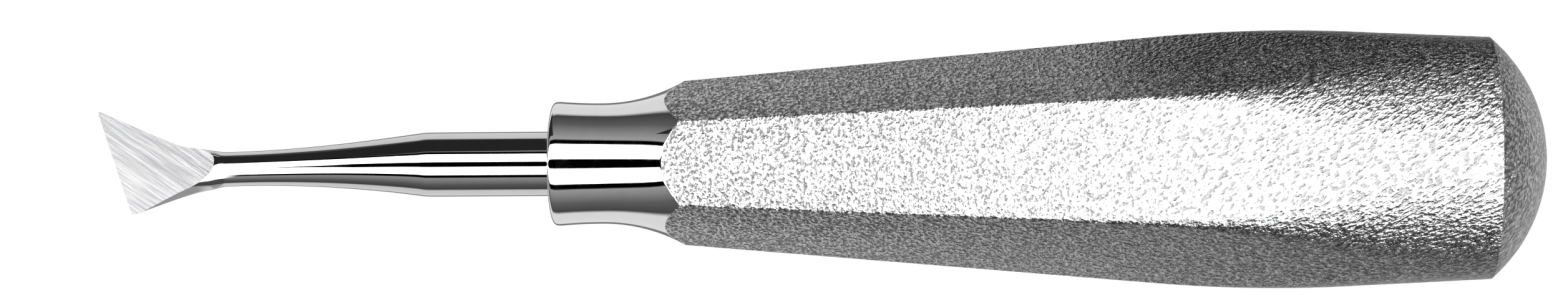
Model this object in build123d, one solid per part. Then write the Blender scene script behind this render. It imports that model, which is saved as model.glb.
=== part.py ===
from build123d import *
from math import asin, atan, cos, degrees, pi, radians, sin, sqrt
import os

# Dental elevator with a hollow stainless steel handle, in millimetres.
#
# Each piece is modelled along the handle's own axis, X, with X = 0 at the ferrule's front
# face, the blade at -X and the butt at +X. At the end the whole instrument is laid on the
# facet below it, which slopes, so the blade end dips towards the surface it lies on.

# ---- handle: a hexagonal grip with slightly convex facets that fade into a round butt ----
GRIP_START = 8.0            # the grip's outline starts here, inside the ferrule's flare
TAPER_END = 60.5            # the straight taper ends and the crown begins
CROWN_END = 79.0            # the crown ends and the grip tapers down to the butt
BUTT = 93.0                 # plane of the butt cap's edge
TAPER_SLOPE = 0.0855        # growth of the corner radius per mm along the straight taper
BUTT_SLOPE = -0.0475        # the same, behind the crown
CORNER_AT_START = 7.80      # distance from the axis to a corner at GRIP_START
BULGE_AT_START = 0.38       # 0 is a flat facet and 1 is an arc about the axis
BULGE_AT_TAPER_END = 0.16
BULGE_GROWS_FROM = 61.5     # the facets round out from here to the butt
CROWN_STATIONS = 8
WALL = 1.0                  # sheet thickness of the pressed shells and cap
CORNER_WALL = 1.1           # the same, measured at a corner
SEAM = 0.6                  # width of every weld seam
LAND_DEPTH = 0.04           # how far the facet that the handle lies on is dressed flat

# ---- ferrule: turned collar with a flare that the facets cut into ----
COLLAR_RADIUS = 6.21
COLLAR_EDGE = 0.4           # rounding of the front edge
WAIST_RADIUS = 6.05
WAIST = 4.9
COLLAR_ARC = 50.0           # hollow between front edge and waist
FLARE_ARC = 17.0            # hollow of the flare behind the waist
FLARE_END = 14.6
FERRULE_END = 14.0          # back of the ferrule's outer part, where the shells' seam starts
SPIGOT_END = 21.0           # the ferrule's hexagonal spigot reaches this far into the shells
SEAT_DEPTH = 2.5            # the shank sits this deep in the ferrule's mouth
BRAZE = 0.35                # leg of the braze fillet round the shank

# ---- working end: one forging, tang to blade ----
TANG_RADIUS = 2.6
TANG_END = 24.0
TANG_CHAMFER = 0.6
SHANK_RADIUS = 3.235
SHANK_BREAK = -13.0         # the parallel shank ends and the neck's taper starts
NECK_THIN = -32.0           # thinnest place of the neck
NECK_RADIUS = 1.735
NECK_POWER = 1.8
PIN_RADIUS = 1.0
PIN_AT = 17.8
PIN_CLEARANCE = 0.2         # the pin stops this far inside the shells

BEND_START = -22.0          # the neck lifts from here
BEND_END = -33.0
BEND_SLOPE = 0.16
DRIFT_START = -15.0         # and leans a little towards -Y from here
DRIFT = 0.40                # by this much, over DRIFT_LENGTH
DRIFT_LENGTH = 20.0

ROLL = 25.0                 # degrees that the blade and its ground face are turned about the axis
TIP = (-47.35, 5.70)        # X and Y of the two ends of the cutting edge
HEEL = (-42.25, -5.05)
TIP_HEIGHT = 0.15           # height of the tip, square to the turned blade
FACE_SLOPE = 0.176          # fall of the ground face towards the tip
WEDGE = 0.31                # growth of the blade's thickness, square to the cutting edge
UPPER_EDGE_SLOPE = 0.531    # how fast the blade's +Y edge closes in on the neck
LOWER_EDGE_SLOPE = 0.528    # and its -Y edge
EDGE_BLEND = 0.9            # length over which an edge runs into the neck
FLARE_LENGTH = 1.5          # the blade's edges leave the neck over this length
BLADE_START = -33.1         # the section turns from round to a wedge's between these two
BLADE_SQUARE = -38.1
BLADE_END = -48.6           # beyond the cutting edge, where the wedge has run out
NECK_ROUND_SHARE = 0.97     # rounding of the neck's section, as a share of its radius
LOWER_ROUND = 0.55          # rounding of the blade's lower edges
UPPER_ROUND = 0.06
RUN_OUT = 2.2               # the grinding wheel lifts over this length at the neck
RUN_OUT_NOSE = 0.4          # the run-out ends this far in front of BLADE_START
RUN_OUT_LIFT = 0.12         # height of the run-out above the ground face at its end
SHOULDER = 0.5              # length of the step from the round shank to the tapering neck
NECK_SECTIONS = 10          # lofted from the shoulder to BLADE_START
BLADE_SECTIONS = 10         # and from there to BLADE_SQUARE

# ---- butt cap ----
CAP_HEIGHT = 5.5
BACKING_RING_LENGTH = 3.5
BACKING_RING_WALL = 1.0

HEX = radians(30)           # half the angle between two corners
BEYOND = 200.0              # longer than the instrument, for cutting boxes


def smooth(t):
    """0 to 1 with level ends."""
    t = min(max(t, 0.0), 1.0)
    return t * t * (3 - 2 * t)


def ramp(t, blend):
    """t where it is positive and 0 where it is negative, with a rounded corner."""
    return (t + sqrt(t * t + blend * blend)) / 2


def across(x):
    """Plane square to the handle's axis at x, with its own axes along Y and Z."""
    return Plane(origin=(x, 0, 0), x_dir=(0, 1, 0), z_dir=(1, 0, 0))


def slab(x_from, x_to):
    """Everything between two planes square to the axis."""
    return Pos((x_from + x_to) / 2, 0, 0) * Box(x_to - x_from, BEYOND, BEYOND)


# ---------------------------------------------------------------- grip outline

def corner_radius(x):
    """Distance from the axis to the grip's corners: a straight taper, a crown, a straight taper."""
    along = min(x, TAPER_END) - GRIP_START
    radius = CORNER_AT_START + TAPER_SLOPE * along
    if x > TAPER_END:
        into = min(x, CROWN_END) - TAPER_END
        bend = (TAPER_SLOPE - BUTT_SLOPE) / (CROWN_END - TAPER_END)
        radius += TAPER_SLOPE * into - bend * into**2 / 2
    if x > CROWN_END:
        radius += BUTT_SLOPE * (x - CROWN_END)
    return radius


def middle_radius(x, bulge):
    """Distance from the axis to the middle of a facet that bulges this much."""
    return corner_radius(x) * (cos(HEX) + bulge * (1 - cos(HEX)))


def facet_radius(x):
    """Distance from the axis to the middle of a facet, which is a straight line on the taper."""
    if x > TAPER_END:
        growth = smooth((x - BULGE_GROWS_FROM) / (BUTT - BULGE_GROWS_FROM))
        return middle_radius(x, BULGE_AT_TAPER_END + (1 - BULGE_AT_TAPER_END) * growth)
    first = middle_radius(GRIP_START, BULGE_AT_START)
    last = middle_radius(TAPER_END, BULGE_AT_TAPER_END)
    return first + (last - first) * (x - GRIP_START) / (TAPER_END - GRIP_START)


def grip_section(x, inset=False):
    """Hexagon of six arcs, with corners at +Y and -Y and facets facing +Z and -Z."""
    corner = corner_radius(x) - (CORNER_WALL if inset else 0)
    facet = facet_radius(x) - (WALL if inset else 0)
    if x >= BUTT:
        corner = facet
    sides = []
    for k in range(6):
        start, middle, end = (2 * k * HEX, (2 * k + 1) * HEX, (2 * k + 2) * HEX)
        sides.append(ThreePointArc(
            (corner * cos(start), corner * sin(start)),
            (facet * cos(middle), facet * sin(middle)),
            (corner * cos(end), corner * sin(end)),
        ))
    return across(x) * make_face(sides)


def grip_body(inset=False):
    """The grip as one solid, from inside the flare to the butt: outside, or inside the wall."""
    taper = loft([grip_section(GRIP_START, inset), grip_section(TAPER_END, inset)], ruled=True)
    spacing = (BUTT - TAPER_END) / CROWN_STATIONS
    stations = [TAPER_END + spacing * k for k in range(CROWN_STATIONS + 1)]
    crown = loft([grip_section(x, inset) for x in stations], ruled=True)
    return taper + crown


# ---------------------------------------------------------------- handle pieces

def flare_profile():
    """Half section of the collar and its flare, closed along the axis."""
    flare_end = (FLARE_END, WAIST_RADIUS + FLARE_ARC - sqrt(FLARE_ARC**2 - (FLARE_END - WAIST) ** 2))
    flare_mid_x = (WAIST + FLARE_END) / 2
    flare_mid = (flare_mid_x, WAIST_RADIUS + FLARE_ARC - sqrt(FLARE_ARC**2 - (flare_mid_x - WAIST) ** 2))
    edge_end = (COLLAR_EDGE, COLLAR_RADIUS)
    hollow_mid_x = (COLLAR_EDGE + WAIST) / 2
    hollow_drop = sqrt(COLLAR_ARC**2 - (WAIST - hollow_mid_x) ** 2)
    hollow_mid = (hollow_mid_x, WAIST_RADIUS + COLLAR_ARC - hollow_drop)
    edge_mid = (COLLAR_EDGE * (1 - cos(pi / 4)), COLLAR_RADIUS - COLLAR_EDGE * (1 - sin(pi / 4)))
    outline = [
        Line((0, 0), (0, COLLAR_RADIUS - COLLAR_EDGE)),
        ThreePointArc((0, COLLAR_RADIUS - COLLAR_EDGE), edge_mid, edge_end),
        ThreePointArc(edge_end, hollow_mid, (WAIST, WAIST_RADIUS)),
        ThreePointArc((WAIST, WAIST_RADIUS), flare_mid, flare_end),
        Line(flare_end, (FLARE_END, 0)),
        Line((FLARE_END, 0), (0, 0)),
    ]
    return make_face(outline)


def shaft(x_from, x_to, radius):
    """Cylinder along the handle's axis."""
    return Pos((x_from + x_to) / 2, 0, 0) * Rot(0, 90, 0) * Cylinder(radius, x_to - x_from)


def braze_ring():
    """Fillet of filler metal in the ferrule's chamfered mouth, round the shank."""
    section = Polyline(
        (0, SHANK_RADIUS), (BRAZE, SHANK_RADIUS), (0, SHANK_RADIUS + BRAZE), (0, SHANK_RADIUS)
    )
    return revolve(make_face(section), Axis.X)


def tang_pin():
    """Cross pin through the spigot and the tang, hidden by the shells, along Z."""
    half = facet_radius(PIN_AT) - WALL - PIN_CLEARANCE
    return Pos(PIN_AT, 0, 0) * Cylinder(PIN_RADIUS, 2 * half)


def ferrule(outside, inside):
    """Collar, flare and hexagonal land in one turned and milled piece, with its spigot."""
    collar = revolve(flare_profile(), Axis.X)
    land = outside & slab(GRIP_START, FERRULE_END)
    front = collar & slab(-1, GRIP_START)
    flared = collar & land
    spigot = inside & slab(FERRULE_END, SPIGOT_END)
    body = front + flared + spigot
    body -= shaft(-1, SEAT_DEPTH, SHANK_RADIUS)
    body -= shaft(-1, SPIGOT_END + 1, TANG_RADIUS)
    body -= braze_ring()
    return body - tang_pin()


def grip_shell(skin, side):
    """One pressed half shell: side 1 is the upper one and -1 the lower one."""
    half = Pos(0, 0, side * (SEAM + BEYOND) / 2) * Box(2 * BEYOND, BEYOND, BEYOND)
    return skin & slab(FERRULE_END + SEAM, BUTT - SEAM) & half


def seam_weld(skin, side):
    """One weld seam along the handle, between the shells: side 1 is at +Y and -1 at -Y."""
    strip = Pos(0, side * BEYOND / 2, 0) * Box(2 * BEYOND, BEYOND, SEAM)
    return skin & slab(FERRULE_END + SEAM, BUTT - SEAM) & strip


def butt_cap():
    """Pressed dome that closes the butt."""
    rim = facet_radius(BUTT)
    outer = (rim**2 + CAP_HEIGHT**2) / (2 * CAP_HEIGHT)
    inner = outer - WALL
    centre = BUTT + CAP_HEIGHT - outer
    inner_rim = sqrt(inner**2 - (BUTT - centre) ** 2)
    half_angle = asin(rim / outer) / 2
    inner_half_angle = asin(inner_rim / inner) / 2
    outline = [
        Line((BUTT, inner_rim), (BUTT, rim)),
        ThreePointArc(
            (BUTT, rim),
            (centre + outer * cos(half_angle), outer * sin(half_angle)),
            (centre + outer, 0),
        ),
        Line((centre + outer, 0), (centre + inner, 0)),
        ThreePointArc(
            (centre + inner, 0),
            (centre + inner * cos(inner_half_angle), inner * sin(inner_half_angle)),
            (BUTT, inner_rim),
        ),
    ]
    return revolve(make_face(outline), Axis.X)


def butt_backing_ring(inside):
    """Ring inside the shells that backs the butt weld and locates the cap."""
    band = slab(BUTT - BACKING_RING_LENGTH, BUTT)
    bore = facet_radius(BUTT) - WALL - BACKING_RING_WALL
    return (inside & band) - shaft(BUTT - 2 * BACKING_RING_LENGTH, BUTT + 1, bore)


# ---------------------------------------------------------------- working end

def neck_radius(x):
    """Radius of the neck between its thinnest place and the shank."""
    return NECK_RADIUS + (SHANK_RADIUS - NECK_RADIUS) * (
        (max(x, NECK_THIN) - NECK_THIN) / (SHANK_BREAK - NECK_THIN)
    ) ** NECK_POWER


def centreline(x):
    """Y and Z of the neck's middle."""
    y = -DRIFT * (max(DRIFT_START - x, 0) / DRIFT_LENGTH) ** 1.4
    curved = max(BEND_START - max(x, BEND_END), 0)
    straight = max(BEND_END - x, 0)
    z = BEND_SLOPE * curved**2 / (2 * (BEND_START - BEND_END)) + BEND_SLOPE * straight
    return y, z


def turned(across_face, height):
    """Y and Z of a point given along and square to the turned blade."""
    roll = radians(ROLL)
    y = across_face * cos(roll) + height * sin(roll)
    z = height * cos(roll) - across_face * sin(roll)
    return y, z


def face_height(x):
    """Height of the ground face, square to the turned blade."""
    return TIP_HEIGHT + FACE_SLOPE * (x - TIP[0])


def on_face(x, y):
    """How far across the turned blade a point of the ground face lies."""
    roll = radians(ROLL)
    return (y - face_height(x) * sin(roll)) / cos(roll)


TIP_ACROSS = on_face(*TIP)
HEEL_ACROSS = on_face(*HEEL)


def back_height(x, across_face):
    """Height of the blade's flat back, which meets the ground face along the cutting edge."""
    along, over = HEEL[0] - TIP[0], TIP_ACROSS - HEEL_ACROSS
    length = sqrt(along**2 + over**2)
    from_edge = ((x - TIP[0]) * over + (across_face - TIP_ACROSS) * along) / length
    return face_height(x) - WEDGE * from_edge


def end_section(x):
    """Section of the forging before grinding: round in the neck, a wide wedge in the blade."""
    y, z = centreline(x)
    roll = radians(ROLL)
    middle = y * cos(roll) - z * sin(roll)
    height = y * sin(roll) + z * cos(roll)
    radius = neck_radius(x)
    squareness = smooth((BLADE_START - x) / (BLADE_START - BLADE_SQUARE))
    upper_line = TIP_ACROSS - UPPER_EDGE_SLOPE * (x - TIP[0])
    lower_line = HEEL_ACROSS + LOWER_EDGE_SLOPE * (x - HEEL[0])
    spread = smooth((BLADE_START - x) / FLARE_LENGTH)
    upper = middle + radius + ramp(upper_line - middle - radius, EDGE_BLEND) * spread
    lower = middle - radius - ramp(middle - radius - lower_line, EDGE_BLEND) * spread
    top = height + radius
    bottom = height - radius
    bottom_lower, bottom_upper = (
        bottom + squareness * (back_height(x, side) - bottom) for side in (lower, upper)
    )
    corners = [
        (lower, bottom_lower, LOWER_ROUND),
        (upper, bottom_upper, UPPER_ROUND),
        (upper, top, LOWER_ROUND),
        (lower, top, LOWER_ROUND),
    ]
    neck_round = NECK_ROUND_SHARE * radius
    outline = make_face(Polyline(*[turned(a, n) for a, n, _ in corners], close=True))
    for a, n, blade_round in corners:
        corner = outline.vertices().sort_by_distance(Vector(*turned(a, n), 0))[0]
        outline = fillet(corner, neck_round + squareness * (blade_round - neck_round))
    return across(x) * outline


def grinding_cut():
    """Material that grinding takes off: everything above the face, and the wheel's run-out."""
    end, nose = BLADE_END - 1, BLADE_START - RUN_OUT_NOSE
    start, middle, clear = nose - RUN_OUT, nose - RUN_OUT / 2, nose + RUN_OUT
    nose_height = face_height(nose) + RUN_OUT_LIFT
    outline = [
        Line((end, face_height(end)), (start, face_height(start))),
        ThreePointArc(
            (start, face_height(start)),
            (middle, face_height(middle) + RUN_OUT_LIFT / 4),
            (nose, nose_height),
        ),
        Line((nose, nose_height), (clear, nose_height + RUN_OUT)),
        Line((clear, nose_height + RUN_OUT), (clear, BEYOND)),
        Line((clear, BEYOND), (end, BEYOND)),
        Line((end, BEYOND), (end, face_height(end))),
    ]
    section = Plane.XZ * make_face(outline)
    return Rot(-ROLL, 0, 0) * extrude(section, BEYOND, both=True)


def working_end():
    """Blade, neck, shank and tang: one forging."""
    neck_start = SHANK_BREAK - SHOULDER
    neck_step = (neck_start - BLADE_START) / NECK_SECTIONS
    blade_step = (BLADE_START - BLADE_SQUARE) / BLADE_SECTIONS
    stations = [neck_start - neck_step * k for k in range(NECK_SECTIONS)]
    stations += [BLADE_START - blade_step * k for k in range(BLADE_SECTIONS + 1)]
    stations.append(BLADE_END)
    forged = loft([end_section(x) for x in stations], ruled=True)
    forged -= grinding_cut()
    shank = shaft(SHANK_BREAK, SEAT_DEPTH, SHANK_RADIUS)
    round_end = across(SHANK_BREAK) * Circle(SHANK_RADIUS)
    shoulder = loft([end_section(neck_start), round_end], ruled=True)
    tang = shaft(SEAT_DEPTH, TANG_END, TANG_RADIUS)
    tang = chamfer(tang.edges().sort_by(Axis.X)[-1:], TANG_CHAMFER)
    return forged + shoulder + shank + tang - tang_pin()


# ---------------------------------------------------------------- assembly

def lay_down(piece):
    """Turns a piece from the handle's axis to the pose in which the instrument lies on a facet."""
    slope = degrees(atan((facet_radius(TAPER_END) - facet_radius(GRIP_START)) / (TAPER_END - GRIP_START)))
    return Rot(0, -slope, 0) * piece


def main():
    outside, inside = grip_body(), grip_body(inset=True)
    skin = outside - inside
    pieces = {
        "working_end": working_end(),
        "shank_braze": braze_ring(),
        "ferrule": ferrule(outside, inside),
        "tang_pin": tang_pin(),
        "neck_weld": skin & slab(FERRULE_END, FERRULE_END + SEAM),
        "grip_shell_upper": grip_shell(skin, 1),
        "grip_shell_lower": grip_shell(skin, -1),
        "seam_weld_plus_y": seam_weld(skin, 1),
        "seam_weld_minus_y": seam_weld(skin, -1),
        "butt_backing_ring": butt_backing_ring(inside),
        "butt_weld": skin & slab(BUTT - SEAM, BUTT),
        "butt_cap": butt_cap(),
    }
    laid = {name: lay_down(piece) for name, piece in pieces.items()}
    lowest = min(piece.bounding_box().min.Z for piece in laid.values()) + LAND_DEPTH
    first = min(piece.bounding_box().min.X for piece in laid.values())
    last = max(piece.bounding_box().max.X for piece in laid.values())
    to_origin = Pos(-(first + last) / 2, 0, -lowest)
    above_surface = Pos(0, 0, BEYOND / 2) * Box(BEYOND, BEYOND, BEYOND)
    os.makedirs("parts", exist_ok=True)
    for name, piece in laid.items():
        placed = (to_origin * piece) & above_surface
        export_step(placed, f"parts/{name}.step")
        print(name, len(placed.solids()), round(placed.volume, 2))


main()
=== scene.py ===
import math

import bmesh
import bpy
from mathutils import Matrix, Vector, noise


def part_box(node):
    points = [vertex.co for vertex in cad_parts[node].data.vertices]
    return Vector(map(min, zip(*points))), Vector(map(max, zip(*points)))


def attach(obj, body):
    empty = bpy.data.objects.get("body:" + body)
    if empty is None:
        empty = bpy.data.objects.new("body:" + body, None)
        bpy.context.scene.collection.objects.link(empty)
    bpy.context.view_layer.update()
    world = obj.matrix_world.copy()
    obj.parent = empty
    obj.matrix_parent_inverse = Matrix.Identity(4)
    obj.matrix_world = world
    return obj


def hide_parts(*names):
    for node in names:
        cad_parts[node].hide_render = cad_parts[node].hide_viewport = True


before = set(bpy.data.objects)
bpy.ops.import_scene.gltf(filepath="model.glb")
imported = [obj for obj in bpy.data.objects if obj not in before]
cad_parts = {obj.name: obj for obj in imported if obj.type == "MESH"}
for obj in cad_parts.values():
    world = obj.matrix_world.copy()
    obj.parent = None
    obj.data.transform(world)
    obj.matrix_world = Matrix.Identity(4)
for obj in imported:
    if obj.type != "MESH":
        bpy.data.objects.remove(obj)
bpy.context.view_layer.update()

# Dental elevator. Sizes are in millimetres along the handle's own axis, as in the CAD model: 0 is
# the ferrule's front face, the blade is at -X and the butt at +X. to_row() turns them into the
# frame's metres.

MM = 0.001

# ---- handle: a hexagonal grip with slightly convex facets that fade into a round butt ----
GRIP_START = 8.0            # the grip's outline starts here, inside the ferrule's flare
TAPER_END = 60.5            # the straight taper ends and the crown begins
CROWN_END = 79.0            # the crown ends and the grip tapers down to the butt
BUTT = 93.0                 # plane of the butt cap's edge
TAPER_SLOPE = 0.0855        # growth of the corner radius per mm along the straight taper
BUTT_SLOPE = -0.0475        # the same, behind the crown
CORNER_AT_START = 7.80      # distance from the axis to a corner at GRIP_START
BULGE_AT_START = 0.38       # 0 is a flat facet and 1 is an arc about the axis
BULGE_AT_TAPER_END = 0.16   # the facets flatten along the taper
BULGE_GROWS_FROM = 61.5     # the facets round out from here to the butt
WALL = 1.0                  # sheet thickness of the pressed shells and cap
CORNER_WALL = 1.1           # the same, measured at a corner
SEAM = 0.6                  # width of every weld seam
CORNER_ROUND = 0.045        # rounding of a blasted corner, as a share of the corner radius
SOFTENS_FROM = 50.0         # the corners soften from here
SOFT = 78.0                 # and follow the butt's arc from here
LAND_DEPTH = 0.04           # how far the facet that the handle lies on is dressed flat
CAP_HEIGHT = 5.5            # of the butt cap's dome

# ---- ferrule: turned collar with a flare that the facets cut into ----
COLLAR_RADIUS = 6.21        # that the rounded front edge reaches
COLLAR_EDGE = 0.4           # rounding of the front edge
WAIST_RADIUS = 6.05         # the collar is thinnest at WAIST
WAIST = 4.9
COLLAR_ARC = 50.0           # hollow between front edge and waist
FLARE_ARC = 17.0            # hollow of the flare behind the waist
STRAIGHT_END = 9.0          # the turned rings are whole circles up to here
FERRULE_END = 14.0          # back of the ferrule's outer part, where the neck weld starts
SPIGOT_END = 21.0           # the ferrule's hexagonal spigot reaches this far into the shells
SEAT_DEPTH = 2.5            # the shank sits this deep in the ferrule's mouth
BRAZE = 0.35                # leg of the braze fillet round the shank
BRAZE_DISH = 0.10           # hollow of the fillet

# ---- working end: one forging, tang to blade ----
TANG_RADIUS = 2.6           # the tang fills the ferrule's bore
TANG_END = 24.0
TANG_CHAMFER = 0.6
SHANK_RADIUS = 3.235
SHANK_BREAK = -13.0         # the parallel shank ends and the neck's taper starts
BREAK_BLEND = 0.05          # softness of that break
BREAK_REACH = 2.5           # the softness has faded out this far behind the break
NECK_THIN = -32.0           # thinnest place of the neck
NECK_RADIUS = 1.735
NECK_POWER = 1.8            # shape of the neck's taper, where 1 is a straight cone
BEND_START = -22.0          # the neck lifts from here
BEND_END = -33.0            # and is straight again from here
BEND_SLOPE = 0.16           # with this slope
DRIFT_START = -15.0         # and leans a little towards -Y from here
DRIFT = 0.40                # by this much, over DRIFT_LENGTH
DRIFT_LENGTH = 20.0
DRIFT_POWER = 1.4           # faster and faster towards the blade

ROLL = 25.0                 # degrees that the blade and its ground face are turned about the axis
TIP = (-47.35, 5.70)        # X and Y of the two ends of the cutting edge
HEEL = (-42.25, -5.05)
TIP_HEIGHT = 0.15           # height of the tip, square to the turned blade
FACE_SLOPE = 0.176          # fall of the ground face towards the tip
WEDGE = 0.31                # growth of the blade's thickness, square to the cutting edge
UPPER_EDGE_SLOPE = 0.531    # how fast the blade's +Y edge closes in on the neck
LOWER_EDGE_SLOPE = 0.528    # and its -Y edge
EDGE_BLEND = 0.9            # length over which an edge runs into the neck
FLARE_LENGTH = 1.5          # the blade's edges leave the neck over this length
BLADE_START = -33.1         # the section turns from round to a wedge's between these two
BLADE_SQUARE = -38.1
BLADE_END = -48.6           # beyond the cutting edge, where the wedge has run out
NECK_ROUND_SHARE = 0.999    # rounding of the neck's section, as a share of its radius
LOWER_ROUND = 0.55          # rounding of the blade's other edges
UPPER_ROUND = 0.06          # rounding of the edge along the blade's back at +Y
RUN_OUT = 2.2               # the grinding wheel lifts over this length at the neck
RUN_OUT_NOSE = 0.4          # the run-out ends this far in front of BLADE_START
RUN_OUT_LIFT = 0.12         # height of the run-out above the ground face at its end
WHEEL_WIDTH = 30.0          # the grinding wheel is larger than the blade all round
WHEEL_HEIGHT = 15.0
WHEEL_MARGIN = 6.0          # its reach beyond the tip
WHEEL_OVERRUN = 1.2         # the lifting curve goes on behind the nose, so that it leaves the neck
WHEEL_REAR = 3.0            # the wheel's top ends this far behind the nose

# ---- blasted grain, as real relief in the mesh ----
RELIEF_SIZE = 0.85          # mm
RELIEF_DEPTH = 0.030        # mm
RELIEF_FINER = 0.47         # size of the second, finer relief against the first
RELIEF_SHIFT = (31.7, 5.1, 12.3)    # so that the two don't line up
RELIEF_MIDDLE = 0.5         # share of the depth that both swing about
RELIEF_COARSE_SHARE = 0.55
RELIEF_FINE_SHARE = 0.35

# ---- fineness of the meshes, in mesh steps or in mm for each step ----
HALF_FACETS = 12            # round the grip
ROUND_STEPS = 30            # from a corner of the grip to the middle of a facet
CORNER_CROWDING = 1.6       # the steps crowd towards the corners by this power
GRIP_STEP = 0.3
HIDDEN_STEP = 10            # inner walls use one outer section in this many
SHORT_PIECE = 6             # but all of them in a piece that has fewer sections than this
SEAM_STEPS = 3              # from the middle of a seam weld to its edge
SEAM_GAP = 0.002            # radians between a shell's edge and the next mesh line
DOME_RINGS = 44
INNER_DOME_RINGS = 8
FRONT_INSETS = (0.9, 0.02)  # rings on the ferrule's flat front, inside its rounded edge
EDGE_RINGS = 12             # round the collar's front edge
COLLAR_STEP = 0.25
FLARE_RINGS = 16            # from the straight turned rings to the facets' scallops
LAND_RINGS = 12             # on the ferrule's blasted part
BRAZE_STEPS = 6             # across the braze fillet
BRAZE_ANGLE_STEP = 3        # round it, one angle in this many
HALVINGS = 40               # for finding where a facet cuts the flare
FORGING_POINTS = 128        # round a section of the working end
SHOULDER_GAP = 0.5          # from the shank's back shoulder to its next section
SHANK_STEP = 1.0
FINE_FROM = 2.0             # the sections get closer together this far behind the break
NECK_STEP = 0.2
BLADE_STEP = 0.12
RUN_OUT_STEPS = 24
SHORTEST = 1e-9             # a piece of an outline that is shorter than this counts as a point
MIN_RISE = 1e-3             # least rise of a facet's arc, which keeps its radius finite
ROUND_UP = 0.999            # makes a whole number of steps from a share of one
SHARP = 35.0                # degrees between faces above which an edge is shaded as sharp
GROUND_SHARP = 25.0         # the same on the working end after grinding


# ---------------------------------------------------------------- shape formulas

def smooth(t):
    """0 to 1 with level ends."""
    t = min(max(t, 0.0), 1.0)
    return t * t * (3 - 2 * t)


def ramp(t, blend):
    """t where it is positive and 0 where it is negative, with a rounded corner."""
    return (t + math.sqrt(t * t + blend * blend)) / 2


def corner_radius(x):
    """Distance from the axis to a corner of the grip."""
    along = min(x, TAPER_END) - GRIP_START
    radius = CORNER_AT_START + TAPER_SLOPE * along
    if x > TAPER_END:
        into = min(x, CROWN_END) - TAPER_END
        bend = (TAPER_SLOPE - BUTT_SLOPE) / (CROWN_END - TAPER_END)
        radius += TAPER_SLOPE * into - bend * into**2 / 2
    if x > CROWN_END:
        radius += BUTT_SLOPE * (x - CROWN_END)
    return radius


COS30 = math.cos(math.pi / 6)


def middle_radius(x, bulge):
    """Distance from the axis to the middle of a facet that has the given bulge."""
    return corner_radius(x) * (COS30 + bulge * (1 - COS30))


def facet_radius(x):
    """Distance from the axis to the middle of a facet, which is a straight line on the taper."""
    if x > TAPER_END:
        growth = smooth((x - BULGE_GROWS_FROM) / (BUTT - BULGE_GROWS_FROM))
        return middle_radius(x, BULGE_AT_TAPER_END + (1 - BULGE_AT_TAPER_END) * growth)
    first = middle_radius(GRIP_START, BULGE_AT_START)
    last = middle_radius(TAPER_END, BULGE_AT_TAPER_END)
    return first + (last - first) * (x - GRIP_START) / (TAPER_END - GRIP_START)


def corner_rounding(x):
    """Rounding of the grip's corners, as a share of the corner radius."""
    corner = corner_radius(x)
    full = (facet_radius(x) / corner - COS30) / (1 - COS30)
    return CORNER_ROUND + (full - CORNER_ROUND) * smooth((x - SOFTENS_FROM) / (SOFT - SOFTENS_FROM))


def hex_radius(x, angle, wall=0.0):
    """Distance from the axis to the grip's surface: six shallow arcs with rounded corners."""
    corner = corner_radius(x) - wall * CORNER_WALL
    facet = facet_radius(x) - wall
    rounding = corner * corner_rounding(x)
    off = abs((angle + math.pi / 6) % (math.pi / 3) - math.pi / 6)
    inner_corner = corner - rounding
    half = inner_corner / 2
    rise = max(facet - rounding - inner_corner * COS30, MIN_RISE)
    arc = (half**2 + rise**2) / (2 * rise)
    centre = facet - rounding - arc
    out_x, out_y = inner_corner * COS30 - centre, half
    length = math.hypot(out_x, out_y)
    end_x = inner_corner * COS30 + rounding * out_x / length
    end_y = half + rounding * out_y / length
    from_middle = math.pi / 6 - off
    if from_middle < math.atan2(end_y, end_x):
        reach = (arc + rounding) ** 2 - (centre * math.sin(from_middle)) ** 2
        return centre * math.cos(from_middle) + math.sqrt(reach)
    reach = max(rounding**2 - (inner_corner * math.sin(off)) ** 2, 0)
    return inner_corner * math.cos(off) + math.sqrt(reach)


def flare_radius(x):
    """Radius of the turned ferrule: rounded front edge, hollow collar and flare."""
    if x < COLLAR_EDGE:
        return COLLAR_RADIUS - COLLAR_EDGE + math.sqrt(COLLAR_EDGE**2 - (COLLAR_EDGE - x) ** 2)
    if x < WAIST:
        return WAIST_RADIUS + COLLAR_ARC - math.sqrt(COLLAR_ARC**2 - (WAIST - x) ** 2)
    return WAIST_RADIUS + FLARE_ARC - math.sqrt(FLARE_ARC**2 - (x - WAIST) ** 2)


def scallop(angle):
    """Where the grip's outline at an angle cuts the flare, found by halving."""
    low, high = STRAIGHT_END, FERRULE_END
    for _ in range(HALVINGS):
        mid = (low + high) / 2
        if flare_radius(mid) < hex_radius(mid, angle):
            low = mid
        else:
            high = mid
    return low


# ---------------------------------------------------------------- frame and mesh helpers

SLOPE = math.atan((facet_radius(TAPER_END) - facet_radius(GRIP_START)) / (TAPER_END - GRIP_START))
DOME_RADIUS = (facet_radius(BUTT) ** 2 + CAP_HEIGHT**2) / (2 * CAP_HEIGHT)
DOME_CENTRE = BUTT + CAP_HEIGHT - DOME_RADIUS
AXIS_HEIGHT = (facet_radius(GRIP_START) - math.tan(SLOPE) * GRIP_START) * math.cos(SLOPE) - LAND_DEPTH
ORIGIN_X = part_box("butt_cap")[1].x / MM - DOME_CENTRE * math.cos(SLOPE) - DOME_RADIUS
TO_ROW = (
    Matrix.Scale(MM, 4)
    @ Matrix.Translation((ORIGIN_X, 0, AXIS_HEIGHT))
    @ Matrix.Rotation(-SLOPE, 4, "Y")
)


def to_row(x, y, z):
    """A point in handle millimetres as a point in the frame's metres."""
    return TO_ROW @ Vector((x, y, z))


def polar(x, radius, angle):
    """A point at an angle round the axis, where 0 is towards +Y and a quarter turn is up."""
    return Vector((x, radius * math.cos(angle), radius * math.sin(angle)))


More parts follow.
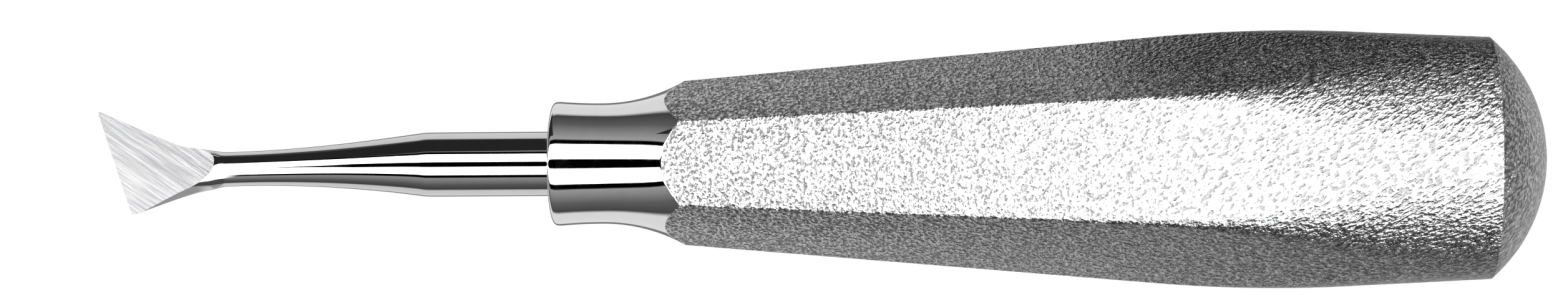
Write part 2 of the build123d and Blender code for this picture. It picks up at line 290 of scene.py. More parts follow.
def relief(point):
    """Depth of the blasted relief at a point, 0 to 1."""
    coarse = noise.noise(point / RELIEF_SIZE)
    fine = noise.noise(point / (RELIEF_SIZE * RELIEF_FINER) + Vector(RELIEF_SHIFT))
    depth = RELIEF_MIDDLE + RELIEF_COARSE_SHARE * coarse + RELIEF_FINE_SHARE * fine
    return min(max(depth, 0.0), 1.0)


def sunk(point, centre_x):
    """A surface point moved towards the axis by the blasted relief."""
    inward = Vector((centre_x, 0, 0)) - point
    return point + inward.normalized() * RELIEF_DEPTH * relief(point)


class Builder:
    """Collects vertices in handle millimetres and faces, then makes one Blender object."""

    def __init__(self):
        self.bm = bmesh.new()

    def row(self, points):
        """New vertices at points, which are in handle millimetres."""
        return [self.bm.verts.new(to_row(*p)) for p in points]

    def rest_flat(self):
        """Dresses the facet that the instrument lies on."""
        for vert in self.bm.verts:
            vert.co.z = max(vert.co.z, 0.0)

    def face(self, verts, slot=0):
        """A smooth face, unless two of its corners coincide and leave it without area."""
        distinct = list(dict.fromkeys(verts))
        if len(distinct) < 3:
            return
        made = self.bm.faces.new(distinct)
        made.material_index = slot
        made.smooth = True

    def join(self, a, b, closed, slot=0):
        """Quads between two rows of the same length."""
        count = len(a)
        for i in range(count if closed else count - 1):
            j = (i + 1) % count
            self.face([a[i], a[j], b[j], b[i]], slot)

    def zip(self, a, b, slot=0):
        """Triangles between two open rows of different lengths."""
        i = j = 0
        while i < len(a) - 1 or j < len(b) - 1:
            a_is_behind = (i + 1) * (len(b) - 1) <= (j + 1) * (len(a) - 1)
            if j == len(b) - 1 or (i < len(a) - 1 and a_is_behind):
                self.face([a[i], a[i + 1], b[j]], slot)
                i += 1
            else:
                self.face([a[i], b[j + 1], b[j]], slot)
                j += 1

    def done(self, name, materials, replaces):
        """Makes the object and stands it in for a CAD node."""
        bmesh.ops.recalc_face_normals(self.bm, faces=self.bm.faces)
        mesh = bpy.data.meshes.new(name)
        self.bm.to_mesh(mesh)
        self.bm.free()
        for material in materials:
            mesh.materials.append(material)
        obj = bpy.data.objects.new(name, mesh)
        bpy.context.scene.collection.objects.link(obj)
        mesh.set_sharp_from_angle(angle=math.radians(SHARP))
        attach(obj, "root")
        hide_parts(replaces)
        return obj


def steps(start, end, size):
    """Evenly spaced values from start to end, about size apart."""
    count = max(int(abs(end - start) / size + ROUND_UP), 1)
    return [start + (end - start) * k / count for k in range(count + 1)]


def around():
    """Angles round the grip, closer together at its corners."""
    angles = []
    for k in range(HALF_FACETS):
        corner = (k + 1) // 2 * math.pi / 3
        for i in range(ROUND_STEPS):
            if k % 2 == 0:
                angles.append(corner + math.pi / 6 * (i / ROUND_STEPS) ** CORNER_CROWDING)
            else:
                angles.append(corner - math.pi / 6 * (1 - i / ROUND_STEPS) ** CORNER_CROWDING)
    return angles


ANGLES = around()


# ---------------------------------------------------------------- materials

def metal(name):
    """A new metal, its node tree and its shader."""
    material = bpy.data.materials.new(name)
    material.use_nodes = True
    tree = material.node_tree
    shader = tree.nodes["Principled BSDF"]
    shader.inputs["Metallic"].default_value = 1.0
    return material, tree, shader


def mapped(tree, scale=(1, 1, 1), degrees=0.0):
    """Object coordinates in metres, turned about Z and then squeezed."""
    coords = tree.nodes.new("ShaderNodeTexCoord")
    turn = tree.nodes.new("ShaderNodeMapping")
    turn.inputs["Rotation"].default_value = (0, 0, math.radians(degrees))
    tree.links.new(coords.outputs["Object"], turn.inputs["Vector"])
    stretch = tree.nodes.new("ShaderNodeMapping")
    stretch.inputs["Scale"].default_value = scale
    tree.links.new(turn.outputs["Vector"], stretch.inputs["Vector"])
    return stretch.outputs["Vector"]


def noise_node(tree, vector, scale, detail, roughness=0.5):
    """Noise with this many waves to the unit of its vector."""
    node = tree.nodes.new("ShaderNodeTexNoise")
    node.inputs["Scale"].default_value = scale
    node.inputs["Detail"].default_value = detail
    node.inputs["Roughness"].default_value = roughness
    tree.links.new(vector, node.inputs["Vector"])
    return node.outputs["Fac"]


def ranged(tree, value, low, high, from_low=0.0, from_high=1.0):
    """A value between low and high, as the input goes from from_low to from_high."""
    node = tree.nodes.new("ShaderNodeMapRange")
    node.inputs["From Min"].default_value = from_low
    node.inputs["From Max"].default_value = from_high
    node.inputs["To Min"].default_value = low
    node.inputs["To Max"].default_value = high
    tree.links.new(value, node.inputs["Value"])
    return node.outputs["Result"]


def mixed(tree, factor, a, b):
    """Mix of two colours, each a constant or the output of another node."""
    node = tree.nodes.new("ShaderNodeMix")
    node.data_type = "RGBA"
    tree.links.new(factor, node.inputs["Factor"])
    for socket, colour in (("A", a), ("B", b)):
        if isinstance(colour, tuple):
            node.inputs[socket].default_value = (*colour, 1)
        else:
            tree.links.new(colour, node.inputs[socket])
    return node.outputs["Result"]


def bump(tree, height, distance, strength=None, after=None):
    """Bumps this many metres high, on top of those of another bump node where there is one."""
    node = tree.nodes.new("ShaderNodeBump")
    node.inputs["Distance"].default_value = distance
    node.inputs["Strength"].default_value = 1.0
    if strength:
        tree.links.new(strength, node.inputs["Strength"])
    tree.links.new(height, node.inputs["Height"])
    if after:
        tree.links.new(after, node.inputs["Normal"])
    return node.outputs["Normal"]


# Fineness of the grains. A scale of 1000 makes one wave in a millimetre.
HAZE = 900
HAIRLINES = (6000, 500, 500)
STREAKS = (140, 3600, 140)          # grinding lines, long across the blade
STREAKS_ANGLE = 31
SCRATCHES = (260, 9000, 260)
SCRATCHES_ANGLE = 32
PEBBLES = 2900
SLANTED_PEBBLES = (1500, 2900, 2900)
SLANT = -32
BLAST_FINE = 7000
MOTTLE = (2500, 2500, 2500)
TURNING_LINES = (8000, 600, 600)

# Heights of the bumps, in metres.
HAIRLINE_BUMP = 0.0000002
STREAK_BUMP = 0.000005
SCRATCH_BUMP = 0.000006
PEBBLE_BUMP = 0.00042
BLAST_FINE_BUMP = 0.00003
FILLER_BUMP = 0.00001
TURNING_BUMP = 0.00001

# Roughness, from a grain's low places to its high ones.
POLISHED_ROUGHNESS = (0.02, 0.05)
GROUND_ROUGHNESS = (0.36, 0.50)
BLASTED_ROUGHNESS = (0.13, 0.24)
BRAZE_ROUGHNESS = (0.18, 0.32)
BARE_ROUGHNESS = (0.25, 0.4)

# Where the blasted grain changes along the handle, as X in the frame in metres.
SLANT_STARTS = 0.005
SLANT_FULL = 0.055
# Painted shade: the blasted colour darkens towards the butt between these two.
PAINTED_SHADE_FROM = -0.005
PAINTED_SHADE_FULL_AT = 0.040
STEEPER_FROM = 0.0
STEEPEST_AT = 0.030
PEBBLE_STRENGTH = (0.54, 0.60)      # strength of the pebbles' bumps, in front and at the butt

# Colours, from the darkest places of a grain to its lightest.
POLISHED_COLOURS = (0.63, 0.63, 0.64), (0.69, 0.69, 0.70)
TOOL_COLOURS = (0.52, 0.52, 0.53), (0.57, 0.57, 0.58)
GROUND_COLOURS = (0.56, 0.56, 0.57), (0.80, 0.80, 0.81)
# Painted shade: the pit colour darkens the low places of the blasted relief, as if they were shaded.
PAINTED_PIT_SHADE = (0.13, 0.13, 0.132)
BLASTED_TOP_FRONT = (0.56, 0.56, 0.565)
# Painted shade: a darker top colour towards the butt.
BLASTED_TOP_REAR_PAINTED_SHADE = (0.42, 0.42, 0.423)
BRAZE_COLOURS = (0.50, 0.48, 0.45), (0.66, 0.64, 0.60)
BARE_COLOURS = (0.48, 0.48, 0.49), (0.62, 0.62, 0.63)


def polished_steel(name, colours):
    """Mirror polish with the faint haze and hairlines that a buffing wheel leaves."""
    material, tree, shader = metal(name)
    haze = noise_node(tree, mapped(tree), HAZE, detail=3)
    hairlines = noise_node(tree, mapped(tree, HAIRLINES), 1.0, detail=3, roughness=0.6)
    tree.links.new(mixed(tree, haze, *colours), shader.inputs["Base Color"])
    roughness = ranged(tree, haze, *POLISHED_ROUGHNESS, from_low=0.35, from_high=0.65)
    tree.links.new(roughness, shader.inputs["Roughness"])
    tree.links.new(bump(tree, hairlines, HAIRLINE_BUMP), shader.inputs["Normal"])
    return material


def ground_steel():
    """The ground face of the blade: parallel grinding lines."""
    material, tree, shader = metal("ground_steel")
    streaks = noise_node(tree, mapped(tree, STREAKS, STREAKS_ANGLE), 1.0, detail=2, roughness=0.6)
    fine_map = mapped(tree, SCRATCHES, SCRATCHES_ANGLE)
    scratches = noise_node(tree, fine_map, 1.0, detail=2, roughness=0.6)
    brightness = ranged(tree, streaks, 0, 1, from_low=0.32, from_high=0.62)
    tree.links.new(mixed(tree, brightness, *GROUND_COLOURS), shader.inputs["Base Color"])
    roughness = ranged(tree, scratches, *GROUND_ROUGHNESS, from_low=0.3, from_high=0.7)
    tree.links.new(roughness, shader.inputs["Roughness"])
    coarse_bumps = bump(tree, streaks, STREAK_BUMP)
    all_bumps = bump(tree, scratches, SCRATCH_BUMP, after=coarse_bumps)
    tree.links.new(all_bumps, shader.inputs["Normal"])
    return material


def blasted_steel():
    """Coarse bead-blasted steel: pebbled grain that gets coarser and slanted at the butt, with
    painted shade in its pits and painted shade that darkens it towards the butt.
    """
    material, tree, shader = metal("blasted_steel")
    place = mapped(tree)
    axes = tree.nodes.new("ShaderNodeSeparateXYZ")
    tree.links.new(place, axes.inputs["Vector"])
    along = axes.outputs["X"]
    pebbles = noise_node(tree, place, PEBBLES, detail=1.5, roughness=0.6)
    slanted_map = mapped(tree, SLANTED_PEBBLES, SLANT)
    slanted = noise_node(tree, slanted_map, 1.0, detail=1.5, roughness=0.6)
    grain = tree.nodes.new("ShaderNodeMix")
    slanting = ranged(tree, along, 0, 1, SLANT_STARTS, SLANT_FULL)
    tree.links.new(slanting, grain.inputs["Factor"])
    tree.links.new(pebbles, grain.inputs["A"])
    tree.links.new(slanted, grain.inputs["B"])
    height = grain.outputs["Result"]
    fine = noise_node(tree, place, BLAST_FINE, detail=1)
    # Painted shade: the grain's low places get the dark pit colour and its high places the top
    # colour.
    out_of_painted_pit_shade = ranged(tree, height, 0, 1, from_low=0.42, from_high=0.62)
    # Painted shade: the top colour darkens towards the butt.
    painted_butt_shade = ranged(tree, along, 0, 1, PAINTED_SHADE_FROM, PAINTED_SHADE_FULL_AT)
    top = mixed(tree, painted_butt_shade, BLASTED_TOP_FRONT, BLASTED_TOP_REAR_PAINTED_SHADE)
    tree.links.new(mixed(tree, out_of_painted_pit_shade, PAINTED_PIT_SHADE, top), shader.inputs["Base Color"])
    roughness = ranged(tree, fine, *BLASTED_ROUGHNESS, from_low=0.3, from_high=0.7)
    tree.links.new(roughness, shader.inputs["Roughness"])
    strength = ranged(tree, along, *PEBBLE_STRENGTH, STEEPER_FROM, STEEPEST_AT)
    coarse_bumps = bump(tree, height, PEBBLE_BUMP, strength)
    all_bumps = bump(tree, fine, BLAST_FINE_BUMP, after=coarse_bumps)
    tree.links.new(all_bumps, shader.inputs["Normal"])
    return material


def plain_metal(name, grain_scale, colours, roughness, bump_height):
    """A metal with one grain in its colour, roughness and bumps."""
    material, tree, shader = metal(name)
    grain = noise_node(tree, mapped(tree, grain_scale), 1.0, detail=3)
    tree.links.new(mixed(tree, grain, *colours), shader.inputs["Base Color"])
    tree.links.new(ranged(tree, grain, *roughness), shader.inputs["Roughness"])
    tree.links.new(bump(tree, grain, bump_height), shader.inputs["Normal"])
    return material


POLISHED = polished_steel("polished_steel", POLISHED_COLOURS)
TOOL_STEEL = polished_steel("polished_tool_steel", TOOL_COLOURS)
GROUND = ground_steel()
BLASTED = blasted_steel()
BRAZED = plain_metal("braze_metal", MOTTLE, BRAZE_COLOURS, BRAZE_ROUGHNESS, FILLER_BUMP)
BARE = plain_metal("bare_steel", TURNING_LINES, BARE_COLOURS, BARE_ROUGHNESS, TURNING_BUMP)


# ---------------------------------------------------------------- handle pieces

def skin_piece(name, x_from, x_to, angles, closed):
    """A piece of the grip's wall, between two sections and two angles."""
    build = Builder()
    xs = steps(x_from, x_to, GRIP_STEP)
    outer = []
    for x in xs:
        points = [polar(x, hex_radius(x, a), a) for a in angles(x)]
        outer.append(build.row([sunk(p, x) for p in points]))
    hidden_xs = xs[::1 if len(xs) < SHORT_PIECE else HIDDEN_STEP]
    if hidden_xs[-1] != xs[-1]:
        hidden_xs.append(xs[-1])
    inner = []
    for x in hidden_xs:
        inner.append(build.row([polar(x, hex_radius(x, a, WALL), a) for a in angles(x)]))
    for a, b in zip(outer, outer[1:]):
        build.join(a, b, closed)
    for a, b in zip(inner, inner[1:]):
        build.join(a, b, closed)
    build.join(outer[0], inner[0], closed)
    build.join(outer[-1], inner[-1], closed)
    if not closed:
        build.zip([row[0] for row in outer], [row[0] for row in inner])
        build.zip([row[-1] for row in outer], [row[-1] for row in inner])
    build.rest_flat()
    build.done(name, [BLASTED], name)


def seam_angle(x):
    """Half the angle that a seam weld takes up, seen from the axis."""
    return math.asin(SEAM / 2 / corner_radius(x))


def shell_angles(side):
    """Angles across the upper shell (side 1) or the lower one (side -1), at any section."""
    def angles(x):
        edge = seam_angle(x)
        inside = [a for a in ANGLES if edge + SEAM_GAP < a < math.pi - edge - SEAM_GAP]
        return [side * a for a in [edge] + inside + [math.pi - edge]]
    return angles


def seam_angles(side):
    """Angles across the seam weld at +Y (side 1) or at -Y (side -1), at any section."""
    def angles(x):
        edge = seam_angle(x)
        middle = 0 if side > 0 else math.pi
        return [middle + edge * k / SEAM_STEPS for k in range(-SEAM_STEPS, SEAM_STEPS + 1)]
    return angles


def whole_circle(x):
    """Angles round a piece that has no seams, the same at every section."""
    return ANGLES


def butt_cap():
    """Pressed dome that closes the butt."""
    build = Builder()
    inner_radius = DOME_RADIUS - WALL
    rim = math.acos((BUTT - DOME_CENTRE) / DOME_RADIUS)
    inner_rim = math.acos((BUTT - DOME_CENTRE) / inner_radius)

    def ring(radius, polar_angle, textured):
        x = DOME_CENTRE + radius * math.cos(polar_angle)
        points = [polar(x, radius * math.sin(polar_angle), a) for a in ANGLES]
        return build.row([sunk(p, DOME_CENTRE) for p in points] if textured else points)

    def dome(radius, edge, count, textured):
        rings = [ring(radius, edge * (1 - k / count), textured) for k in range(count)]
        for a, b in zip(rings, rings[1:]):
            build.join(a, b, True)
        pole = Vector((DOME_CENTRE + radius, 0, 0))
        top = build.row([sunk(pole, DOME_CENTRE) if textured else pole])[0]
        for i, vert in enumerate(rings[-1]):
            build.face([vert, rings[-1][(i + 1) % len(ANGLES)], top])
        return rings[0]

    outer = dome(DOME_RADIUS, rim, DOME_RINGS, True)
    inner = dome(inner_radius, inner_rim, INNER_DOME_RINGS, False)
    build.join(outer, inner, True)
    build.done("butt_cap", [BLASTED], "butt_cap")


def ferrule():
    """Turned collar and flare, polished, with a blasted land and the spigot behind it."""
    build = Builder()
    edges = [scallop(a) for a in ANGLES]

    def circle(x, radius):
        return build.row([polar(x, radius, a) for a in ANGLES])

    rows = [
        circle(SPIGOT_END, TANG_RADIUS),
        circle(SEAT_DEPTH, TANG_RADIUS),
        circle(SEAT_DEPTH, SHANK_RADIUS),
        circle(BRAZE, SHANK_RADIUS),
        circle(0, SHANK_RADIUS + BRAZE),
    ]
    for inset in FRONT_INSETS:
        rows.append(circle(0, COLLAR_RADIUS - COLLAR_EDGE - inset))
    for k in range(1, EDGE_RINGS + 1):
        x = COLLAR_EDGE * (1 - math.cos(math.pi / 2 * k / EDGE_RINGS))
        rows.append(circle(x, flare_radius(x)))
    for x in steps(COLLAR_EDGE, STRAIGHT_END, COLLAR_STEP)[1:]:
        rows.append(circle(x, flare_radius(x)))
    for k in range(1, FLARE_RINGS + 1):
        points = []
        for a, edge in zip(ANGLES, edges):
            x = STRAIGHT_END + (edge - STRAIGHT_END) * k / FLARE_RINGS
            points.append(polar(x, flare_radius(x), a))
        rows.append(build.row(points))
    first_blasted = len(rows) - 1
    for k in range(1, LAND_RINGS + 1):
        points = []
        for a, edge in zip(ANGLES, edges):
            x = edge + (FERRULE_END - edge) * k / LAND_RINGS
            points.append(sunk(polar(x, hex_radius(x, a), a), x))
        rows.append(build.row(points))
    for x in (FERRULE_END, SPIGOT_END):
        rows.append(build.row([polar(x, hex_radius(x, a, WALL), a) for a in ANGLES]))
    for number, (a, b) in enumerate(zip(rows, rows[1:] + rows[:1])):
        blasted = first_blasted <= number <= first_blasted + LAND_RINGS
        build.join(a, b, True, 1 if blasted else 0)
    build.rest_flat()
    build.done("ferrule_turned", [POLISHED, BLASTED], "ferrule")


def shank_braze():
    """Fillet of filler metal round the shank, slightly dished."""
    build = Builder()
    profile = [(0.0, SHANK_RADIUS), (BRAZE, SHANK_RADIUS), (0.0, SHANK_RADIUS + BRAZE)]
    for k in range(1, BRAZE_STEPS):
        t = k / BRAZE_STEPS
        profile.append((BRAZE_DISH * math.sin(math.pi * t), SHANK_RADIUS + BRAZE * (1 - t)))
    rows = [build.row([polar(x, r, a) for a in ANGLES[::BRAZE_ANGLE_STEP]]) for x, r in profile]
    for a, b in zip(rows, rows[1:] + rows[:1]):
        build.join(a, b, True)
    build.done("shank_braze_fillet", [BRAZED], "shank_braze")


# ---------------------------------------------------------------- working end

def neck_radius(x):
    """Radius of the shank and neck, parallel up to the break and then tapered in a curve."""
    if x > SHANK_BREAK + BREAK_REACH:
        return SHANK_RADIUS
    share = (max(x, NECK_THIN) - NECK_THIN) / (SHANK_BREAK - NECK_THIN)
    taper = NECK_RADIUS + (SHANK_RADIUS - NECK_RADIUS) * share**NECK_POWER
    return SHANK_RADIUS - ramp(SHANK_RADIUS - taper, BREAK_BLEND)


def centreline(x):
    """Y and Z of the middle of the shank and neck."""
    y = -DRIFT * (max(DRIFT_START - x, 0) / DRIFT_LENGTH) ** DRIFT_POWER
    curved = max(BEND_START - max(x, BEND_END), 0)
    z = BEND_SLOPE * curved**2 / (2 * (BEND_START - BEND_END)) + BEND_SLOPE * max(BEND_END - x, 0)
    return y, z


COS_ROLL = math.cos(math.radians(ROLL))
SIN_ROLL = math.sin(math.radians(ROLL))


def turned(over, height):
    """Y and Z of a point given along and square to the turned blade."""
    return over * COS_ROLL + height * SIN_ROLL, height * COS_ROLL - over * SIN_ROLL


def face_height(x):
    """Height of the ground face, square to the turned blade."""
    return TIP_HEIGHT + FACE_SLOPE * (x - TIP[0])


def on_face(x, y):
    """Distance along the turned blade of the ground face's point above X and Y."""
    return (y - face_height(x) * SIN_ROLL) / COS_ROLL


TIP_OVER = on_face(*TIP)
HEEL_OVER = on_face(*HEEL)


def back_height(x, over):
    """Height of the blade's flat back, which meets the ground face along the cutting edge."""
    along = HEEL[0] - TIP[0]
    across = TIP_OVER - HEEL_OVER
    from_edge = ((x - TIP[0]) * across + (over - TIP_OVER) * along) / math.hypot(along, across)
    return face_height(x) - WEDGE * from_edge


def rounded_polygon(corners, count):
    """Points spaced evenly round a convex polygon whose corners have their own roundings."""
    arcs = []
    for i, (x, y, r) in enumerate(corners):
        here = Vector((x, y))
        back = (Vector(corners[i - 1][:2]) - here).normalized()
        ahead = (Vector(corners[(i + 1) % len(corners)][:2]) - here).normalized()
        half = back.angle(ahead) / 2
        reach = r / math.tan(half)
        centre = here + (back + ahead).normalized() * r / math.sin(half)
        start = here + back * reach - centre
        turn = start.angle_signed(here + ahead * reach - centre, 0)
        arcs.append((centre, start, -turn, abs(turn) * r))
    outline = []
    for i, (centre, start, turn, length) in enumerate(arcs):
        outline.append(("arc", centre, start, turn, length))
        line_from = centre + Matrix.Rotation(turn, 2) @ start
        next_centre, next_start = arcs[(i + 1) % len(arcs)][:2]
        line_to = next_centre + next_start
        outline.append(("line", line_from, line_to, 0, (line_to - line_from).length))
    total = sum(piece[-1] for piece in outline)
    points = []
    for k in range(count):
        along = total * k / count
        for kind, first, second, turn, length in outline:
            if along <= length:
                break
            along -= length
        share = along / length if length > SHORTEST else 0
        if kind == "arc":
            points.append(first + Matrix.Rotation(turn * share, 2) @ second)
        else:
            points.append(first.lerp(second, share))
    return points


def end_section(x, count):
    """Section of the forging before grinding: round in the neck, a wide wedge in the blade."""
    y, z = centreline(x)
    middle = y * COS_ROLL - z * SIN_ROLL
    height = y * SIN_ROLL + z * COS_ROLL
    radius = neck_radius(x)
    if x > BLADE_START:
        points = []
        for k in range(count):
            angle = math.pi + 2 * math.pi * k / count
            points.append((middle + radius * math.cos(angle), height + radius * math.sin(angle)))
        return [turned(*p) for p in points]
    squareness = smooth((BLADE_START - x) / (BLADE_START - BLADE_SQUARE))
    spread = smooth((BLADE_START - x) / FLARE_LENGTH)
    upper_line = TIP_OVER - UPPER_EDGE_SLOPE * (x - TIP[0])
    lower_line = HEEL_OVER + LOWER_EDGE_SLOPE * (x - HEEL[0])
    upper = middle + radius + ramp(upper_line - middle - radius, EDGE_BLEND) * spread
    lower = middle - radius - ramp(middle - radius - lower_line, EDGE_BLEND) * spread
    top = height + radius
    bottom = height - radius
    bottom_lower = bottom + squareness * (back_height(x, lower) - bottom)
    bottom_upper = bottom + squareness * (back_height(x, upper) - bottom)

    def rounding(blade_round):
        neck_round = NECK_ROUND_SHARE * radius
        return neck_round + squareness * (blade_round - neck_round)

    corners = [
        (lower, bottom_lower, rounding(LOWER_ROUND)),
        (upper, bottom_upper, rounding(UPPER_ROUND)),
        (upper, top, rounding(LOWER_ROUND)),
        (lower, top, rounding(LOWER_ROUND)),
    ]
    return [turned(*p) for p in rounded_polygon(corners, count)]


def grinding_wheel():
    """Cutter for the ground face: a flat that lifts in a curve at the neck."""
    nose = BLADE_START - RUN_OUT_NOSE
    start = nose - RUN_OUT
    front = TIP[0] - WHEEL_MARGIN
    profile = [(front, face_height(front)), (start, face_height(start))]
    for k in range(1, RUN_OUT_STEPS + 1):
        x = start + (RUN_OUT + WHEEL_OVERRUN) * k / RUN_OUT_STEPS
        profile.append((x, face_height(x) + RUN_OUT_LIFT * ((x - start) / RUN_OUT) ** 2))
    profile += [(nose + WHEEL_REAR, WHEEL_HEIGHT), (front, WHEEL_HEIGHT)]
    bm = bmesh.new()
    sides = []
    for over in (-WHEEL_WIDTH / 2, WHEEL_WIDTH / 2):
        row = []
        for x, height in profile:
            y, z = turned(over, height)
            row.append(bm.verts.new(to_row(x, y, z)))
        sides.append(row)
        bm.faces.new(row)
    count = len(profile)
    for i in range(count):
        j = (i + 1) % count
        bm.faces.new([sides[0][i], sides[0][j], sides[1][j], sides[1][i]])
    bmesh.ops.recalc_face_normals(bm, faces=bm.faces)
    mesh = bpy.data.meshes.new("grinding_wheel")
    bm.to_mesh(mesh)
    bm.free()
    mesh.materials.append(TOOL_STEEL)
    mesh.materials.append(GROUND)
    for face in mesh.polygons:
        face.material_index = 1
    wheel = bpy.data.objects.new("grinding_wheel", mesh)
    bpy.context.scene.collection.objects.link(wheel)
    return wheel


def working_end():
    """Blade, neck, shank and tang: one forging, ground flat on one face."""
    build = Builder()
    tang = [
        (TANG_END, TANG_RADIUS - TANG_CHAMFER),
        (TANG_END - TANG_CHAMFER, TANG_RADIUS),
        (SEAT_DEPTH, TANG_RADIUS),
        (SEAT_DEPTH, SHANK_RADIUS),
    ]
    angles = [math.pi + 2 * math.pi * k / FORGING_POINTS for k in range(FORGING_POINTS)]
    rows = []
    for x, radius in tang:
        points = [turned(radius * math.cos(a), radius * math.sin(a)) for a in angles]
        rows.append(build.row([(x, y, z) for y, z in points]))
    stations = steps(SEAT_DEPTH - SHOULDER_GAP, SHANK_BREAK + FINE_FROM, SHANK_STEP)
    stations += steps(SHANK_BREAK + FINE_FROM, BLADE_START, NECK_STEP)[1:]
    stations += steps(BLADE_START, BLADE_END, BLADE_STEP)[1:]
    for x in stations:
        rows.append(build.row([(x, y, z) for y, z in end_section(x, FORGING_POINTS)]))
    for a, b in zip(rows, rows[1:]):
        build.join(a, b, True)
    build.face(rows[0])
    build.face(rows[-1])
    piece = build.done("working_end_forging", [TOOL_STEEL, GROUND], "working_end")
    wheel = grinding_wheel()
    cut = piece.modifiers.new("grind", "BOOLEAN")
    cut.operation = "DIFFERENCE"
    cut.solver = "EXACT"
    cut.object = wheel
    bpy.context.view_layer.update()
    evaluated = piece.evaluated_get(bpy.context.evaluated_depsgraph_get())
    ground = bpy.data.meshes.new_from_object(evaluated)
    piece.modifiers.clear()
    piece.data = ground
    bpy.data.objects.remove(wheel)
    ground.set_sharp_from_angle(angle=math.radians(GROUND_SHARP))


working_end()
shank_braze()
ferrule()
skin_piece("neck_weld", FERRULE_END, FERRULE_END + SEAM, whole_circle, True)
skin_piece("grip_shell_upper", FERRULE_END + SEAM, BUTT - SEAM, shell_angles(1), False)
skin_piece("grip_shell_lower", FERRULE_END + SEAM, BUTT - SEAM, shell_angles(-1), False)
skin_piece("seam_weld_plus_y", FERRULE_END + SEAM, BUTT - SEAM, seam_angles(1), False)
skin_piece("seam_weld_minus_y", FERRULE_END + SEAM, BUTT - SEAM, seam_angles(-1), False)
skin_piece("butt_weld", BUTT - SEAM, BUTT, whole_circle, True)
butt_cap()
for hidden in ("tang_pin", "butt_backing_ring"):
    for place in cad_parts[hidden].material_slots:
        place.material = BARE


# ---------------------------------------------------------------- studio

def stage_mesh(name, corners, material, unseen_by):
    """A flat piece of the studio, which the named kinds of rays pass through."""
    mesh = bpy.data.meshes.new(name)
    mesh.from_pydata(corners, [], [tuple(range(len(corners)))])
    mesh.materials.append(material)
    obj = bpy.data.objects.new(name, mesh)
    bpy.context.scene.collection.objects.link(obj)
    for ray in unseen_by:
        setattr(obj, "visible_" + ray, False)


def glow_material(name, colour, strength):
    """A material that only glows."""
    material = bpy.data.materials.new(name)
    material.use_nodes = True
    tree = material.node_tree
    tree.nodes.clear()
    out = tree.nodes.new("ShaderNodeOutputMaterial")
    glow = tree.nodes.new("ShaderNodeEmission")
    glow.inputs["Color"].default_value = (*colour, 1)
    glow.inputs["Strength"].default_value = strength
    tree.links.new(glow.outputs["Emission"], out.inputs["Surface"])
    return material


def card(name, corners, material):
    """A card that shows only as a reflection."""
    stage_mesh(name, corners, material, ("camera", "diffuse", "shadow", "transmission"))


def level(z, outline):
    """Corners of a level card at this height, from their X and Y."""
    return [(x, y, z) for x, y in outline]


def upright(y, outline):
    """Corners of an upright card at this Y, from their X and Z."""
    return [(x, y, z) for x, z in outline]


TABLE_REACH = 3
TABLE_GLOW = 1.0
SOFTBOX_GLOW = 6.5
CARD_GLOW = 3.4
BLACK_LEVEL = 0.03

# Places in the frame, in metres. The first black card darkens the +Y side of the shank and neck,
# and the white card with its notched end fades out the dark line along the middle of the neck.
# The softbox lights the facet that faces up, and the second black card darkens the facet beside it
# on the +Y side, towards the butt.
TABLE_OUTLINE = [
    (-TABLE_REACH, -TABLE_REACH),
    (TABLE_REACH, -TABLE_REACH),
    (TABLE_REACH, TABLE_REACH),
    (-TABLE_REACH, TABLE_REACH),
]
SHANK_CARD_Y = 0.014
SHANK_CARD = [(-0.075, 0.006), (-0.0279, 0.006), (-0.0279, 0.020), (-0.075, 0.020)]
NECK_CARD_Z = 0.020
NECK_CARD = [(-0.067, -0.003), (-0.050, -0.003), (-0.0570, 0), (-0.050, 0.003), (-0.067, 0.003)]
SOFTBOX_Z = 0.11
SOFTBOX_OUTLINE = [(-0.012, -0.018), (0.200, -0.018), (0.200, 0.018), (-0.012, 0.018)]
BUTT_CARD_Y = 0.030
BUTT_CARD = [(0.026, 0.0), (0.110, 0.0), (0.110, 0.017), (0.034, 0.017)]

FLOOR = glow_material("lit_white_table", (1, 1, 1), TABLE_GLOW)
BLACK = glow_material("black_card", (BLACK_LEVEL, BLACK_LEVEL, BLACK_LEVEL), 1.0)
FILL = glow_material("white_card", (1, 1, 1), CARD_GLOW)
SOFTBOX = glow_material("top_softbox", (1, 1, 1), SOFTBOX_GLOW)

stage_mesh("white_table", level(0, TABLE_OUTLINE), FLOOR, ("glossy", "diffuse", "shadow"))
card("black_card", upright(SHANK_CARD_Y, SHANK_CARD), BLACK)
card("white_card", level(NECK_CARD_Z, NECK_CARD), FILL)
card("top_softbox", level(SOFTBOX_Z, SOFTBOX_OUTLINE), SOFTBOX)
card("black_card_at_butt", upright(BUTT_CARD_Y, BUTT_CARD), BLACK)

# Light tent of long strips along the instrument: brightness by the angle round the X axis in
# degrees, where 0 is straight up and positive is towards +Y. The first list is what a surface sees
# when it looks towards the blade's end, and the second what it sees towards the butt's.
TENT_AT_BLADE = [
    (-180, 0.22), (-154, 0.22), (-150, 1.0), (-109, 1.0), (-102, 0.08), (-80, 0.16), (-50, 0.46),
    (-49, 0.0), (-39, 0.0), (-38, 4.6), (-9, 4.6), (-8.5, 0.0), (8.5, 0.0), (9, 4.6), (37, 4.6),
    (38, 0.0), (46, 0.0), (47, 0.50), (80, 0.15), (102, 0.07), (109, 1.0), (150, 1.0),
    (154, 0.22), (180, 0.22),
]
TENT_AT_BUTT = [
    (-180, 0.55), (-156, 0.50), (-112, 0.50), (-104, 0.10), (-64, 0.12), (-54, 7.0), (44, 7.0),
    (54, 0.20), (70, 0.03), (80, 0.03), (84, 3.0), (92, 3.0), (96, 0.03), (140, 0.05), (156, 0.35),
    (180, 0.55),
]
BRIGHTEST = 7.0
BLADE_END_DIRECTION = -0.01     # X of the directions between which the first list turns
BUTT_END_DIRECTION = 0.08       # into the second
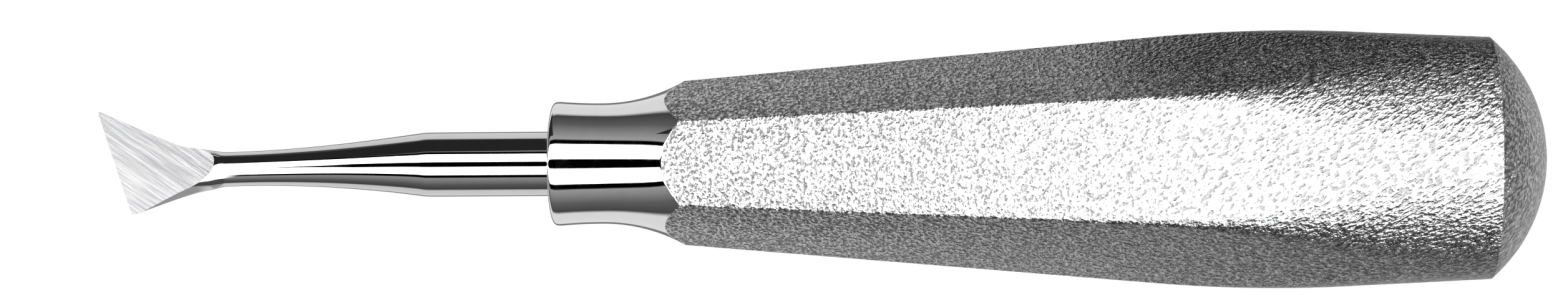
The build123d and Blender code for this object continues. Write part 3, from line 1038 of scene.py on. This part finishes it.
FAR_WALL_STARTS = 0.40          # and between which the tent turns into its dim far wall
FAR_WALL_FULL = 0.65
FAR_WALL_STOPS = [(0.1, 0.17), (0.62, 0.045)]   # share of the way up, and brightness


def strip_ramp(tree, position, levels):
    """Brightness along a position from 0 to 1, with straight lines between the levels."""
    ramp_node = tree.nodes.new("ShaderNodeValToRGB")
    stops = ramp_node.color_ramp.elements
    for number, (place, brightness) in enumerate(levels):
        stop = stops[number] if number < 2 else stops.new(place)
        stop.position = place
        stop.color = (brightness, brightness, brightness, 1)
    tree.links.new(position, ramp_node.inputs["Fac"])
    return ramp_node.outputs["Color"]


def tent_levels(levels):
    """The levels of a tent, with angles as shares of a turn and brightness up to 1."""
    return [((degrees + 180) / 360, level / BRIGHTEST) for degrees, level in levels]


world = bpy.data.worlds.new("studio")
world.use_nodes = True
bpy.context.scene.world = world
tree = world.node_tree
coords = tree.nodes.new("ShaderNodeTexCoord")
direction = tree.nodes.new("ShaderNodeSeparateXYZ")
tree.links.new(coords.outputs["Generated"], direction.inputs["Vector"])
around_x = tree.nodes.new("ShaderNodeMath")
around_x.operation = "ARCTAN2"
tree.links.new(direction.outputs["Y"], around_x.inputs[0])
tree.links.new(direction.outputs["Z"], around_x.inputs[1])
turn = ranged(tree, around_x.outputs["Value"], 0, 1, -math.pi, math.pi)
blade_end = strip_ramp(tree, turn, tent_levels(TENT_AT_BLADE))
butt_end = strip_ramp(tree, turn, tent_levels(TENT_AT_BUTT))
ahead = direction.outputs["X"]
to_butt = ranged(tree, ahead, 0, 1, BLADE_END_DIRECTION, BUTT_END_DIRECTION)
strips = mixed(tree, to_butt, blade_end, butt_end)
upwards = ranged(tree, direction.outputs["Z"], 0, 1, -1, 1)
far_wall = strip_ramp(tree, upwards, FAR_WALL_STOPS)
to_wall = ranged(tree, ahead, 0, 1, FAR_WALL_STARTS, FAR_WALL_FULL)
tent = mixed(tree, to_wall, strips, far_wall)
tree.links.new(tent, tree.nodes["Background"].inputs["Color"])
tree.nodes["Background"].inputs["Strength"].default_value = BRIGHTEST

SENSOR_WIDTH = 36
LENS = 84.1
CAMERA_PLACE = (-0.00252, 0.00149, 0.375)   # straight above the instrument, looking down
CAMERA_TURN = -0.38                         # degrees about the vertical
camera_data = bpy.data.cameras.new("camera")
camera = bpy.data.objects.new("camera", camera_data)
bpy.context.scene.collection.objects.link(camera)
camera_data.sensor_width = SENSOR_WIDTH
camera_data.lens = LENS
camera.location = CAMERA_PLACE
camera.rotation_euler = (0, 0, math.radians(CAMERA_TURN))
bpy.context.scene.camera = camera

bpy.context.scene.view_settings.view_transform = "Standard"
